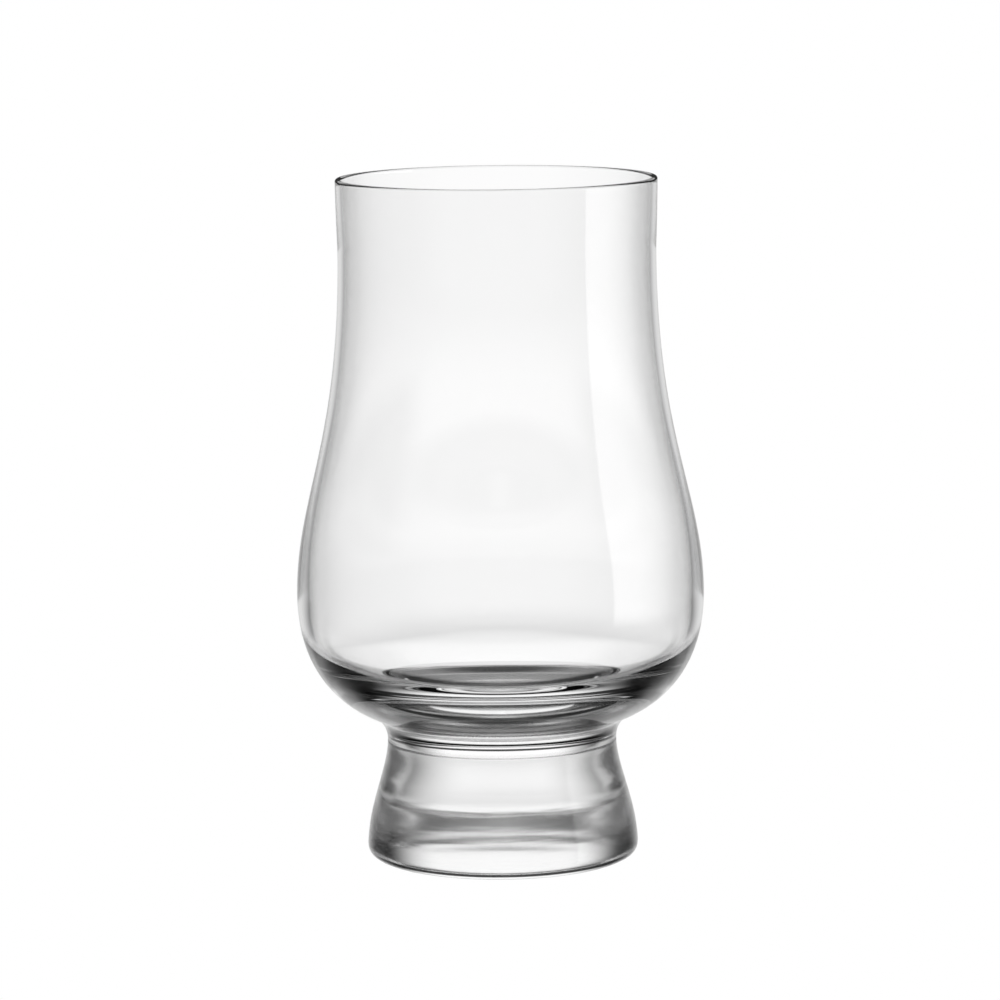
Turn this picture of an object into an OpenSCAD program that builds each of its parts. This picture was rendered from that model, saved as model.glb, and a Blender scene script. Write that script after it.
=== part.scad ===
// Whisky nosing glass: a blown tulip bowl fused onto a solid pressed foot.
// Millimetres, +Z up, origin on the table under the middle of the foot.

/* [Overall] */
// Height from the table to the top of the rim
height = 115; // [105:0.5:130]

/* [Bowl outside] */
// Outside diameter at the rim
rim_d = 53.7; // [48:0.1:60]
// Outside diameter at the neck, the narrowest place under the rim
neck_d = 53.1; // [46:0.1:58]
// Drop from the top of the rim to the neck
neck_drop = 12.1; // [6:0.1:20]
// Outside diameter at the widest place of the belly
belly_d = 68.4; // [62:0.1:78]
// Height of the widest place of the belly above the table
belly_z = 45.1; // [41:0.1:52]
// Radius of the hollow fillet that turns the belly into the waist
waist_fillet = 4.6; // [3.6:0.1:5.6]
// Angle through which that fillet turns
waist_fillet_turn = 67; // [58:1:74]

/* [Bowl inside] */
// Thickness of the wall at the rim, which is rounded over its full thickness
rim_wall = 0.95; // [0.8:0.05:1.6]
// Thickness of the wall at the neck
neck_wall = 1.1; // [0.9:0.05:1.8]
// Thickness of the wall at the belly
belly_wall = 1.85; // [1.3:0.05:2.6]
// Height of the widest place of the cavity above the table
cavity_z = 46.7; // [44:0.1:52]
// Solid glass between the weld and the lowest point of the cavity
floor_thickness = 8.8; // [7:0.1:11]

/* [Foot] */
// Height of the weld, where the foot ends and the bowl begins
weld_z = 20.3; // [18:0.1:22]
// Diameter of the waist at the weld
waist_d = 38.6; // [34:0.1:41]
// Diameter of the foot at the bend into its base
foot_d = 45.3; // [42:0.1:52]
// Height of that bend above the table
foot_bend_z = 4.7; // [3.5:0.1:6]
// Slope of the flank from upright at that bend
foot_flank_slope = 6.2; // [3:0.1:9]
// Outer diameter of the flat ring that the glass rests on
rest_ring_d = 33.2; // [31:0.1:36]
// Diameter of the shallow hollow under the foot
punt_d = 27; // [22:0.1:30]
// Depth of that hollow
punt_depth = 0.9; // [0.4:0.1:2]

/* [Weld] */
// Rounding of the two fused edges, which leaves a fine line round the waist
seam_round = 0.2; // [0.1:0.05:0.4]

/* [Hidden] */

// Each curve runs between two named places. These are its handles, as shares of its span.
rim_handle_shares = [0.1, 0.6, 0.8];
shoulder_handle_shares = [0.29, 0.56];
belly_handle_shares = [0.585, 0.555];
cavity_handle_shares = [0.8, 0.9];
flank_handle_shares = [0.36, 0.27];
base_handle_shares = [1.14, 0.72];

curve_steps = 24;
arc_steps = 8;
round_steps = 4;
revolve_steps = 128;

neck_z = height - neck_drop;
lip_r = rim_wall / 2;
lip_z = height - lip_r;
floor_z = weld_z + floor_thickness;
rim_r = rim_d / 2;
neck_r = neck_d / 2;
belly_r = belly_d / 2;
waist_r = waist_d / 2;
foot_r = foot_d / 2;
rest_ring_r = rest_ring_d / 2;
punt_r = punt_d / 2;
punt_sphere_r = (punt_r * punt_r + punt_depth * punt_depth) / (2 * punt_depth);

glass_colour = [0.88, 0.91, 0.92, 0.4];
foot_colour = [0.80, 0.84, 0.86, 0.5];

// Points of a cubic curve after its first point, up to and with its last one.
function curve(a, b, c, d) = [
    for (i = [1:curve_steps])
        let (t = i / curve_steps, s = 1 - t)
        a * s * s * s + b * 3 * s * s * t + c * 3 * s * t * t + d * t * t * t
];

// Points of an arc after its first point, up to and with its last one.
function arc(centre, radius, from, to, steps) = [
    for (i = [1:steps])
        let (angle = from + (to - from) * i / steps)
        centre + radius * [cos(angle), sin(angle)]
];

// The wall's line from the neck up to the rim, at a given thickness inside the outer face.
function rim_curve(neck_in, rim_in) =
    let (neck = [neck_r - neck_in, neck_z],
         rim = [rim_r - rim_in, lip_z],
         span = rim - neck)
    curve(neck,
          neck + [0, span[1] * rim_handle_shares[0]],
          rim - [span[0] * rim_handle_shares[1], span[1] * rim_handle_shares[2]],
          rim);

// The wall's line from the widest place of the belly or cavity up to the neck.
function shoulder_curve(wide, neck) =
    let (rise = neck[1] - wide[1])
    curve(wide,
          wide + [0, rise * shoulder_handle_shares[0]],
          neck - [0, rise * shoulder_handle_shares[1]],
          neck);

// The line that the outside of the bowl follows, from the weld up to the rim.
function bowl_outside() =
    let (fillet_centre = [waist_r + waist_fillet, weld_z + seam_round],
         fillet_end_angle = 180 - waist_fillet_turn,
         fillet_end = fillet_centre + waist_fillet * [cos(fillet_end_angle), sin(fillet_end_angle)],
         fillet_heading = [sin(fillet_end_angle), -cos(fillet_end_angle)],
         belly = [belly_r, belly_z],
         span = belly - fillet_end)
    concat(
        [[0, weld_z], [waist_r - seam_round, weld_z]],
        arc([waist_r - seam_round, weld_z + seam_round], seam_round, -90, 0, round_steps),
        arc(fillet_centre, waist_fillet, 180, fillet_end_angle, arc_steps),
        curve(fillet_end,
              fillet_end + fillet_heading * span[0] * belly_handle_shares[0],
              belly - [0, span[1] * belly_handle_shares[1]],
              belly),
        shoulder_curve(belly, [neck_r, neck_z]),
        rim_curve(0, 0));

// The line that the cavity follows, from its lowest point up to the rim.
function bowl_inside() =
    let (cavity_r = belly_r - belly_wall,
         wide = [cavity_r, cavity_z],
         lowest = [0, floor_z])
    concat(
        [lowest],
        curve(lowest,
              lowest + [cavity_r * cavity_handle_shares[1], 0],
              wide - [0, (cavity_z - floor_z) * cavity_handle_shares[0]],
              wide),
        shoulder_curve(wide, [neck_r - neck_wall, neck_z]),
        rim_curve(neck_wall, rim_wall));

function reversed(points) = [for (i = [len(points) - 1:-1:0]) points[i]];

// The blown bowl: a thin tulip wall that thickens into a solid bottom above the weld.
module bowl() {
    lip_centre = [rim_r - lip_r, lip_z];
    // The lip's arc ends where the cavity's line begins, so that shared point is dropped once.
    lip = arc(lip_centre, lip_r, 0, 180, arc_steps);
    color(glass_colour)
    rotate_extrude($fn = revolve_steps)
    polygon(concat(
        bowl_outside(),
        [for (i = [0:arc_steps - 2]) lip[i]],
        reversed(bowl_inside())));
}

// The pressed foot: a solid flared pad with a flat ring to stand on and a shallow hollow inside it.
module foot() {
    bend = [foot_r, foot_bend_z];
    flank_heading = [-sin(foot_flank_slope), cos(foot_flank_slope)];
    flank_top = [waist_r, weld_z - seam_round];
    flank_rise = flank_top[1] - bend[1];
    punt_centre = [0, punt_depth - punt_sphere_r];
    punt_edge_angle = acos(punt_r / punt_sphere_r);
    color(foot_colour)
    rotate_extrude($fn = revolve_steps)
    polygon(concat(
        [[0, punt_depth]],
        arc(punt_centre, punt_sphere_r, 90, punt_edge_angle, arc_steps),
        [[rest_ring_r, 0]],
        curve([rest_ring_r, 0],
              [rest_ring_r + (foot_r - rest_ring_r) * base_handle_shares[0], 0],
              bend - flank_heading * foot_bend_z * base_handle_shares[1],
              bend),
        curve(bend,
              bend + flank_heading * flank_rise * flank_handle_shares[0],
              flank_top - [0, flank_rise * flank_handle_shares[1]],
              flank_top),
        arc([waist_r - seam_round, weld_z - seam_round], seam_round, 0, 90, round_steps),
        [[0, weld_z]]));
}

bowl();
foot();
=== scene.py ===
"""The looks of a whisky nosing glass: a blown bowl and a pressed foot of clear crystal, on a white floor."""

import math

import bpy
from mathutils import Matrix, Vector


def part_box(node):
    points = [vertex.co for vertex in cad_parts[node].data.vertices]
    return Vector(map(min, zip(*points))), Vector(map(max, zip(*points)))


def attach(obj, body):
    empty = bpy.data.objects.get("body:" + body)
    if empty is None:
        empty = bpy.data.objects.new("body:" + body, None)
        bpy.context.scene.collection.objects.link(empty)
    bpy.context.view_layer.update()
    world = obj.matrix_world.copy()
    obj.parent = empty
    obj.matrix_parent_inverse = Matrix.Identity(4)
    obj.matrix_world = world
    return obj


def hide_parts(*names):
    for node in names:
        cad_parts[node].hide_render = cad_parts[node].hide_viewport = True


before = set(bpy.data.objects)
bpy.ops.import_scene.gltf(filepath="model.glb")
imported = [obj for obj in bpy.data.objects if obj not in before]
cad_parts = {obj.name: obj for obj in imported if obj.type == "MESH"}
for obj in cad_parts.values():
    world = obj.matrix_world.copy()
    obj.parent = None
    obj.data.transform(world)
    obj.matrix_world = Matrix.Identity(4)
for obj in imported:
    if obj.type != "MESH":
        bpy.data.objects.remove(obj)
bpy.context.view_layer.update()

MM = 0.001

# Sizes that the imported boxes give, in millimetres.
bowl_low, bowl_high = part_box("bowl")
HEIGHT = bowl_high.z / MM
WELD_Z = bowl_low.z / MM
BELLY_R = bowl_high.x / MM

# Sizes that the boxes don't show, in millimetres and degrees, as in the part's source.
RIM_R = 26.85
RIM_WALL = 0.95
NECK_R = 26.55
NECK_WALL = 1.1
NECK_DROP = 12.1
BELLY_Z = 45.1
BELLY_WALL = 1.85
WAIST_R = 19.3
WAIST_FILLET = 4.6
WAIST_FILLET_TURN = 67
CAVITY_Z = 46.7
FLOOR_THICKNESS = 8.8
FOOT_R = 22.65
FOOT_BEND_Z = 4.7
FOOT_FLANK_SLOPE = 6.2
REST_RING_R = 16.6
PUNT_R = 13.5
PUNT_DEPTH = 0.9
SEAM_ROUND = 0.2

# Handles of the curves, as shares of the spans that they follow.
RIM_HANDLE_SHARES = (0.1, 0.6, 0.8)
SHOULDER_HANDLE_SHARES = (0.29, 0.56)
BELLY_HANDLE_SHARES = (0.585, 0.555)
CAVITY_HANDLE_SHARES = (0.8, 0.9)
FLANK_HANDLE_SHARES = (0.36, 0.27)
BASE_HANDLE_SHARES = (1.14, 0.72)

# Fineness of the meshes: steps round the axis, and along each stretch of an outline.
TURN_STEPS = 320
CURVE_STEPS = 56
LIP_STEPS = 14
SEAM_STEPS = 6
FILLET_STEPS = 28
CAVITY_STEPS = 90
PUNT_STEPS = 24
RING_STEPS = 3
BASE_STEPS = 40
WELD_STEPS = 3

# A point nearer to the axis than this, in millimetres, is on it.
AXIS_REACH = 1e-6


def curve(a, b, c, d, steps=CURVE_STEPS):
    """Points of a cubic curve after its first one."""
    points = []
    for i in range(1, steps + 1):
        t = i / steps
        s = 1 - t
        points.append(a * s ** 3 + b * 3 * s * s * t + c * 3 * s * t * t + d * t ** 3)
    return points


def arc(centre, radius, start, end, steps):
    """Points of an arc after its first one, with its angles in degrees."""
    points = []
    for i in range(1, steps + 1):
        angle = math.radians(start + (end - start) * i / steps)
        points.append(centre + radius * Vector((math.cos(angle), math.sin(angle))))
    return points


def line(a, b, steps):
    """Points of a straight line after its first one."""
    return [a.lerp(b, i / steps) for i in range(1, steps + 1)]


def rim_curve(neck_in, rim_in):
    """The wall's line from the neck up to the lip, inside the outer face by the given thicknesses."""
    neck = Vector((NECK_R - neck_in, HEIGHT - NECK_DROP))
    rim = Vector((RIM_R - rim_in, HEIGHT - RIM_WALL / 2))
    span = rim - neck
    low, side, high = RIM_HANDLE_SHARES
    return curve(neck, neck + Vector((0, span.y * low)), rim - Vector((span.x * side, span.y * high)), rim)


def shoulder_curve(wide, neck):
    """The wall's line from the widest place up to the neck."""
    rise = neck.y - wide.y
    low, high = SHOULDER_HANDLE_SHARES
    return curve(wide, wide + Vector((0, rise * low)), neck - Vector((0, rise * high)), neck)


def bowl_outline():
    """The bowl's outline, from the middle of the weld round over the lip to the cavity's lowest point."""
    neck_z = HEIGHT - NECK_DROP
    seam_centre = Vector((WAIST_R - SEAM_ROUND, WELD_Z + SEAM_ROUND))
    fillet_centre = Vector((WAIST_R + WAIST_FILLET, WELD_Z + SEAM_ROUND))
    turn_end = math.radians(180 - WAIST_FILLET_TURN)
    fillet_end = fillet_centre + WAIST_FILLET * Vector((math.cos(turn_end), math.sin(turn_end)))
    heading = Vector((math.sin(turn_end), -math.cos(turn_end)))
    belly = Vector((BELLY_R, BELLY_Z))
    span = belly - fillet_end
    out_share, down_share = BELLY_HANDLE_SHARES
    outside = arc(seam_centre, SEAM_ROUND, -90, 0, SEAM_STEPS)
    outside += arc(fillet_centre, WAIST_FILLET, 180, 180 - WAIST_FILLET_TURN, FILLET_STEPS)
    outside += curve(fillet_end, fillet_end + heading * span.x * out_share,
                     belly - Vector((0, span.y * down_share)), belly)
    outside += shoulder_curve(belly, Vector((NECK_R, neck_z)))
    outside += rim_curve(0, 0)
    lip_r = RIM_WALL / 2
    lip = arc(Vector((RIM_R - lip_r, HEIGHT - lip_r)), lip_r, 0, 180, LIP_STEPS)
    wide = Vector((BELLY_R - BELLY_WALL, CAVITY_Z))
    lowest = Vector((0, WELD_Z + FLOOR_THICKNESS))
    up_share, flat_share = CAVITY_HANDLE_SHARES
    cavity = [lowest]
    cavity += curve(lowest, lowest + Vector((wide.x * flat_share, 0)),
                    wide - Vector((0, (CAVITY_Z - lowest.y) * up_share)), wide, CAVITY_STEPS)
    cavity += shoulder_curve(wide, Vector((NECK_R - NECK_WALL, neck_z)))
    cavity += rim_curve(NECK_WALL, RIM_WALL)
    middle = Vector((0, WELD_Z))
    weld = [middle] + line(middle, Vector((WAIST_R - SEAM_ROUND, WELD_Z)), WELD_STEPS)
    return weld + outside + lip[:-1] + cavity[::-1]


def foot_outline():
    """The foot's outline, from the middle of its hollow out and up to the weld."""
    bend = Vector((FOOT_R, FOOT_BEND_Z))
    slope = math.radians(FOOT_FLANK_SLOPE)
    heading = Vector((-math.sin(slope), math.cos(slope)))
    top = Vector((WAIST_R, WELD_Z - SEAM_ROUND))
    rise = top.y - bend.y
    sphere_r = (PUNT_R ** 2 + PUNT_DEPTH ** 2) / (2 * PUNT_DEPTH)
    hollow_edge = math.degrees(math.acos(PUNT_R / sphere_r))
    ring = Vector((REST_RING_R, 0))
    out_share, down_share = BASE_HANDLE_SHARES
    low_share, high_share = FLANK_HANDLE_SHARES
    points = [Vector((0, PUNT_DEPTH))]
    points += arc(Vector((0, PUNT_DEPTH - sphere_r)), sphere_r, 90, hollow_edge, PUNT_STEPS)
    points += line(Vector((PUNT_R, 0)), ring, RING_STEPS)
    points += curve(ring, ring + Vector(((FOOT_R - REST_RING_R) * out_share, 0)),
                    bend - heading * FOOT_BEND_Z * down_share, bend, BASE_STEPS)
    points += curve(bend, bend + heading * rise * low_share, top - Vector((0, rise * high_share)), top)
    points += arc(Vector((WAIST_R - SEAM_ROUND, WELD_Z - SEAM_ROUND)), SEAM_ROUND, 0, 90, SEAM_STEPS)
    return points + line(points[-1], Vector((0, WELD_Z)), WELD_STEPS)


def revolve(name, outline, row_kinds, materials):
    """A closed smooth mesh turned about Z. row_kinds gives the material of each row of faces."""
    verts = []
    rows = []
    for point in outline:
        if point.x < AXIS_REACH:
            rows.append([len(verts)])
            verts.append((0, 0, point.y * MM))
            continue
        rows.append(list(range(len(verts), len(verts) + TURN_STEPS)))
        for i in range(TURN_STEPS):
            angle = 2 * math.pi * i / TURN_STEPS
            verts.append((point.x * MM * math.cos(angle), point.x * MM * math.sin(angle), point.y * MM))
    faces = []
    kinds = []
    for row, (low, high) in enumerate(zip(rows, rows[1:])):
        for i in range(TURN_STEPS):
            k = (i + 1) % TURN_STEPS
            if len(low) == 1:
                faces.append((low[0], high[k], high[i]))
            elif len(high) == 1:
                faces.append((low[i], low[k], high[0]))
            else:
                faces.append((low[i], low[k], high[k], high[i]))
            kinds.append(row_kinds[row])
    mesh = bpy.data.meshes.new(name)
    mesh.from_pydata(verts, [], faces)
    for material in materials:
        mesh.materials.append(material)
    mesh.polygons.foreach_set("material_index", kinds)
    mesh.polygons.foreach_set("use_smooth", [True] * len(faces))
    mesh.update()
    piece = bpy.data.objects.new(name, mesh)
    bpy.context.scene.collection.objects.link(piece)
    return piece


GLASS_IOR = 1.52

# The streaks' noise: its detail, and the stretch of its values that the roughness follows.
STREAK_DETAIL = 3
STREAK_LOW = 0.3
STREAK_HIGH = 0.8


def new_material(name):
    """A material with its output and a Principled shader."""
    material = bpy.data.materials.new(name)
    material.use_nodes = True
    return material


def crystal(name, streak_scale, bump_strength, bump_distance, roughness_range):
    """Clear crystal with faint level streaks in its surface, left by blowing or pressing."""
    material = new_material(name)
    nodes = material.node_tree.nodes
    links = material.node_tree.links
    shader = nodes["Principled BSDF"]
    shader.inputs["Base Color"].default_value = (1, 1, 1, 1)
    shader.inputs["Transmission Weight"].default_value = 1
    shader.inputs["IOR"].default_value = GLASS_IOR
    place = nodes.new("ShaderNodeTexCoord")
    stretch = nodes.new("ShaderNodeMapping")
    stretch.inputs["Scale"].default_value = streak_scale
    streaks = nodes.new("ShaderNodeTexNoise")
    streaks.inputs["Scale"].default_value = 1
    streaks.inputs["Detail"].default_value = STREAK_DETAIL
    links.new(place.outputs["Object"], stretch.inputs["Vector"])
    links.new(stretch.outputs["Vector"], streaks.inputs["Vector"])
    bump = nodes.new("ShaderNodeBump")
    bump.inputs["Strength"].default_value = bump_strength
    bump.inputs["Distance"].default_value = bump_distance
    links.new(streaks.outputs["Fac"], bump.inputs["Height"])
    links.new(bump.outputs["Normal"], shader.inputs["Normal"])
    gloss = nodes.new("ShaderNodeMapRange")
    gloss.inputs["From Min"].default_value = STREAK_LOW
    gloss.inputs["From Max"].default_value = STREAK_HIGH
    gloss.inputs["To Min"].default_value = roughness_range[0]
    gloss.inputs["To Max"].default_value = roughness_range[1]
    links.new(streaks.outputs["Fac"], gloss.inputs["Value"])
    links.new(gloss.outputs["Result"], shader.inputs["Roughness"])
    return material


def fused():
    """The weld inside the waist: the two pieces are one glass there, so nothing of it shows."""
    material = new_material("fused_weld")
    material.node_tree.nodes["Principled BSDF"].inputs["Alpha"].default_value = 0
    return material


weld_clear = fused()
bowl_crystal = crystal("blown_crystal", streak_scale=(12, 12, 60), bump_strength=0.02, bump_distance=0.0002,
                       roughness_range=(0.0, 0.01))
foot_crystal = crystal("pressed_crystal", streak_scale=(30, 30, 240), bump_strength=0.3, bump_distance=0.0003,
                       roughness_range=(0.1, 0.2))
base_crystal = crystal("ground_crystal", streak_scale=(30, 30, 240), bump_strength=0.3, bump_distance=0.0003,
                       roughness_range=(0.1, 0.18))

# Places of the materials in a piece's list.
GLASS = 0
WELD = 1
BASE = 2

bowl_points = bowl_outline()
bowl_kinds = [WELD] * WELD_STEPS + [GLASS] * (len(bowl_points) - 1 - WELD_STEPS)
bowl_glass = revolve("bowl_glass", bowl_points, bowl_kinds, [bowl_crystal, weld_clear])
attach(bowl_glass, "root")
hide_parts("bowl")

foot_points = foot_outline()
base_rows = PUNT_STEPS + RING_STEPS + BASE_STEPS
flank_rows = len(foot_points) - 1 - base_rows - WELD_STEPS
foot_kinds = [BASE] * base_rows + [GLASS] * flank_rows + [WELD] * WELD_STEPS
foot_glass = revolve("foot_glass", foot_points, foot_kinds, [foot_crystal, weld_clear, base_crystal])
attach(foot_glass, "root")
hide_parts("foot")


# The white floor, which only the camera sees, just under the glass. In metres.
FLOOR_HALF = 8.0
FLOOR_Z = -0.0001
FLOOR_GLOW = 1.0

# A painted shadow: a dark disc on the table under the foot, standing in for the glass's own shadow there, which
# the camera doesn't see. In metres.
PATCH_R = 0.0205
PATCH_Y = 0.006
PATCH_Z = -0.00005
PATCH_CORNERS = 96
PATCH_GLOW = 0.02


def glow(name, strength):
    """A plain white glow."""
    material = new_material(name)
    nodes = material.node_tree.nodes
    nodes.remove(nodes["Principled BSDF"])
    light = nodes.new("ShaderNodeEmission")
    light.inputs["Strength"].default_value = strength
    material.node_tree.links.new(light.outputs["Emission"], nodes["Material Output"].inputs["Surface"])
    return material


def stage_sheet(name, corners, material):
    """A flat stage piece with the given corners."""
    mesh = bpy.data.meshes.new(name)
    mesh.from_pydata(corners, [], [tuple(range(len(corners)))])
    mesh.materials.append(material)
    piece = bpy.data.objects.new(name, mesh)
    bpy.context.scene.collection.objects.link(piece)
    return piece


floor_corners = [(-FLOOR_HALF, -FLOOR_HALF, FLOOR_Z), (FLOOR_HALF, -FLOOR_HALF, FLOOR_Z),
                 (FLOOR_HALF, FLOOR_HALF, FLOOR_Z), (-FLOOR_HALF, FLOOR_HALF, FLOOR_Z)]
floor = stage_sheet("floor", floor_corners, glow("pale_floor", FLOOR_GLOW))
floor.visible_glossy = False
floor.visible_transmission = False

# A near-black disc under the foot, set back from the axis and seen only through the glass: a painted contact
# shadow, not a dark table.
patch_corners = []
for corner in range(PATCH_CORNERS):
    angle = 2 * math.pi * corner / PATCH_CORNERS
    patch_corners.append((PATCH_R * math.cos(angle), PATCH_Y + PATCH_R * math.sin(angle), PATCH_Z))
contact_shade = stage_sheet("contact_shade", patch_corners, glow("painted_contact_shadow", PATCH_GLOW))
contact_shade.visible_camera = False

# The studio's light, by direction. A turn is the angle round from straight behind the glass, and a lift the
# angle above level, both in degrees. A pair is where a soft edge starts and ends. A glow is a strength. A share
# is the part of a glow that is left, and a depth the part that is taken away.

# The bright wall behind, between dark sides: its side, upper and lower edges.
WALL_EDGE = (18, 46)
WALL_GLOW = 1.04
SIDE_GLOW = 0.01
WALL_TOP = (48, 62)
WALL_TOP_SHARE = 0.03
WALL_FOOT = (-26, -12)
WALL_FOOT_SHARE = 0.78

# A dark gap across the wall about level with the glass, and a weaker one, reaching lower, that only mirrored
# rays see.
GAP_LOW = (-3, -1)
GAP_HIGH = (8, 11)
GAP_DEPTH = 0.95
MIRROR_LOW = (-18, -14)
MIRROR_DEPTH = 0.3

# The pale table, shaded at the sides and dark close to the foot.
TABLE_EDGE = (-28, -8)
TABLE_GLOW = 1.0
SHADE_NEAR = (12, 62)
SHADE_FAR = (100, 130)
SHADE_LIFT = (-26, -19)
SHADE_DEPTH = 0.97
NEAR_LIFT = (-44, -34)
NEAR_SHARE = 0.03

# The room behind the camera, and a soft light overhead.
FRONT_EDGE = (105, 150)
FRONT_GLOW = 0.25
TOP_LIFT = (58, 74)
TOP_GLOW = 0.55

# A tall strip light on the right, which shows only as a reflection.
STRIP_FADE = (50, 105)
STRIP_EDGE = (112, 115)
STRIP_LOW = (-16, -8)
STRIP_HIGH = (20, 30)
STRIP_GLOW = 2.4

# What shows straight through the bowl, with no reflection on the way: through both its walls, or through one
# wall seen over the rim. Counted by the glass faces passed.
BOWL_FACES = 4
CLEAR_LOW = (-60, -50)
CLEAR_TOP = (15, 35)
CLEAR_GLOW = 0.7
WALL_FACES = 2
MOUTH_TURN = (40, 52)
MOUTH_TOP = (-8, -5)
MOUTH_GLOW = 0.6


def studio():
    """The light round the glass. The camera itself sees plain white."""
    world = bpy.data.worlds.new("studio")
    world.use_nodes = True
    bpy.context.scene.world = world
    nodes = world.node_tree.nodes
    links = world.node_tree.links

    def math_node(operation, *inputs):
        node = nodes.new("ShaderNodeMath")
        node.operation = operation
        for socket, value in zip(node.inputs, inputs):
            if isinstance(value, (int, float)):
                socket.default_value = value
            else:
                links.new(value, socket)
        return node.outputs[0]

    def ramp(value, edge, low, high):
        node = nodes.new("ShaderNodeMapRange")
        node.interpolation_type = "SMOOTHSTEP"
        links.new(value, node.inputs["Value"])
        node.inputs["From Min"].default_value = math.radians(edge[0])
        node.inputs["From Max"].default_value = math.radians(edge[1])
        node.inputs["To Min"].default_value = low
        node.inputs["To Max"].default_value = high
        return node.outputs["Result"]

    def times(*factors):
        product = factors[0]
        for factor in factors[1:]:
            product = math_node("MULTIPLY", product, factor)
        return product

    def rest_of(value):
        return math_node("SUBTRACT", 1, value)

    def counts(value, number):
        return math_node("COMPARE", value, number, 0.5)

    place = nodes.new("ShaderNodeTexCoord")
    axes = nodes.new("ShaderNodeSeparateXYZ")
    links.new(place.outputs["Generated"], axes.inputs["Vector"])
    side_turn = math_node("ARCTAN2", axes.outputs["X"], axes.outputs["Y"])
    turn = math_node("ABSOLUTE", side_turn)
    lift = math_node("ARCSINE", axes.outputs["Z"])
    path = nodes.new("ShaderNodeLightPath")
    faces_passed = path.outputs["Transmission Depth"]
    unmirrored = counts(path.outputs["Glossy Depth"], 0)

    mirror_gap = times(ramp(lift, MIRROR_LOW, 0, MIRROR_DEPTH), rest_of(unmirrored))
    gap = math_node("MAXIMUM", ramp(lift, GAP_LOW, 0, GAP_DEPTH), mirror_gap)
    gap = times(gap, ramp(lift, GAP_HIGH, 1, 0))
    wall = times(ramp(turn, WALL_EDGE, WALL_GLOW, SIDE_GLOW), ramp(lift, WALL_TOP, 1, WALL_TOP_SHARE),
                 rest_of(gap), ramp(lift, WALL_FOOT, WALL_FOOT_SHARE, 1))
    shade = times(ramp(turn, SHADE_NEAR, 0, 1), ramp(turn, SHADE_FAR, 1, 0),
                  ramp(lift, SHADE_LIFT, SHADE_DEPTH, 0))
    table = times(ramp(lift, TABLE_EDGE, TABLE_GLOW, 0), rest_of(shade), ramp(lift, NEAR_LIFT, NEAR_SHARE, 1))
    front = ramp(turn, FRONT_EDGE, 0, FRONT_GLOW)
    top = ramp(lift, TOP_LIFT, 0, TOP_GLOW)
    strip = times(ramp(side_turn, STRIP_FADE, 0, STRIP_GLOW), ramp(side_turn, STRIP_EDGE, 1, 0),
                  ramp(lift, STRIP_LOW, 0, 1), ramp(lift, STRIP_HIGH, 1, 0),
                  rest_of(path.outputs["Is Transmission Ray"]))
    clear = times(ramp(lift, CLEAR_LOW, 0, CLEAR_GLOW), ramp(lift, CLEAR_TOP, 1, 0),
                  counts(faces_passed, BOWL_FACES), unmirrored)
    mouth = times(ramp(turn, MOUTH_TURN, 0, MOUTH_GLOW), ramp(lift, CLEAR_LOW, 0, 1),
                  ramp(lift, MOUTH_TOP, 1, 0), counts(faces_passed, WALL_FACES), unmirrored)

    shown = wall
    for part in (table, front, top, strip, clear, mouth, path.outputs["Is Camera Ray"]):
        shown = math_node("MAXIMUM", shown, part)
    nodes["Background"].inputs["Color"].default_value = (1, 1, 1, 1)
    links.new(shown, nodes["Background"].inputs["Strength"])


studio()

# The camera, fitted to the photograph: metres, angles and pixels.
CAMERA_DISTANCE = 0.8055
CAMERA_PITCH = math.radians(8.248)
CAMERA_ROLL = math.radians(-0.6146)
AIM = Vector((0.00008, 0, 0.060745))
FOCAL_PIXELS = 4800
IMAGE_PIXELS = 1000
SENSOR_WIDTH_MM = 36
CLIP_NEAR = 0.01
CLIP_FAR = 100


def photo_camera():
    """A camera where the photograph's was: above the rim, looking a little down, and a little tilted."""
    lens = bpy.data.cameras.new("photo_camera")
    lens.sensor_width = SENSOR_WIDTH_MM
    lens.lens = SENSOR_WIDTH_MM * FOCAL_PIXELS / IMAGE_PIXELS
    lens.clip_start = CLIP_NEAR
    lens.clip_end = CLIP_FAR
    camera = bpy.data.objects.new("photo_camera", lens)
    bpy.context.scene.collection.objects.link(camera)
    away = Vector((0, -math.cos(CAMERA_PITCH), math.sin(CAMERA_PITCH)))
    camera.location = AIM + away * CAMERA_DISTANCE
    level = (-away).to_track_quat("-Z", "Y").to_matrix()
    camera.rotation_euler = (level @ Matrix.Rotation(CAMERA_ROLL, 3, "Z")).to_euler()
    bpy.context.scene.camera = camera


photo_camera()

# Glass needs many bounces, so that no dark patch in it is only a ray cut short.
scene = bpy.context.scene
scene.view_settings.view_transform = "Standard"
scene.cycles.max_bounces = 24
scene.cycles.transmission_bounces = 24
scene.cycles.glossy_bounces = 12
scene.cycles.transparent_max_bounces = 16
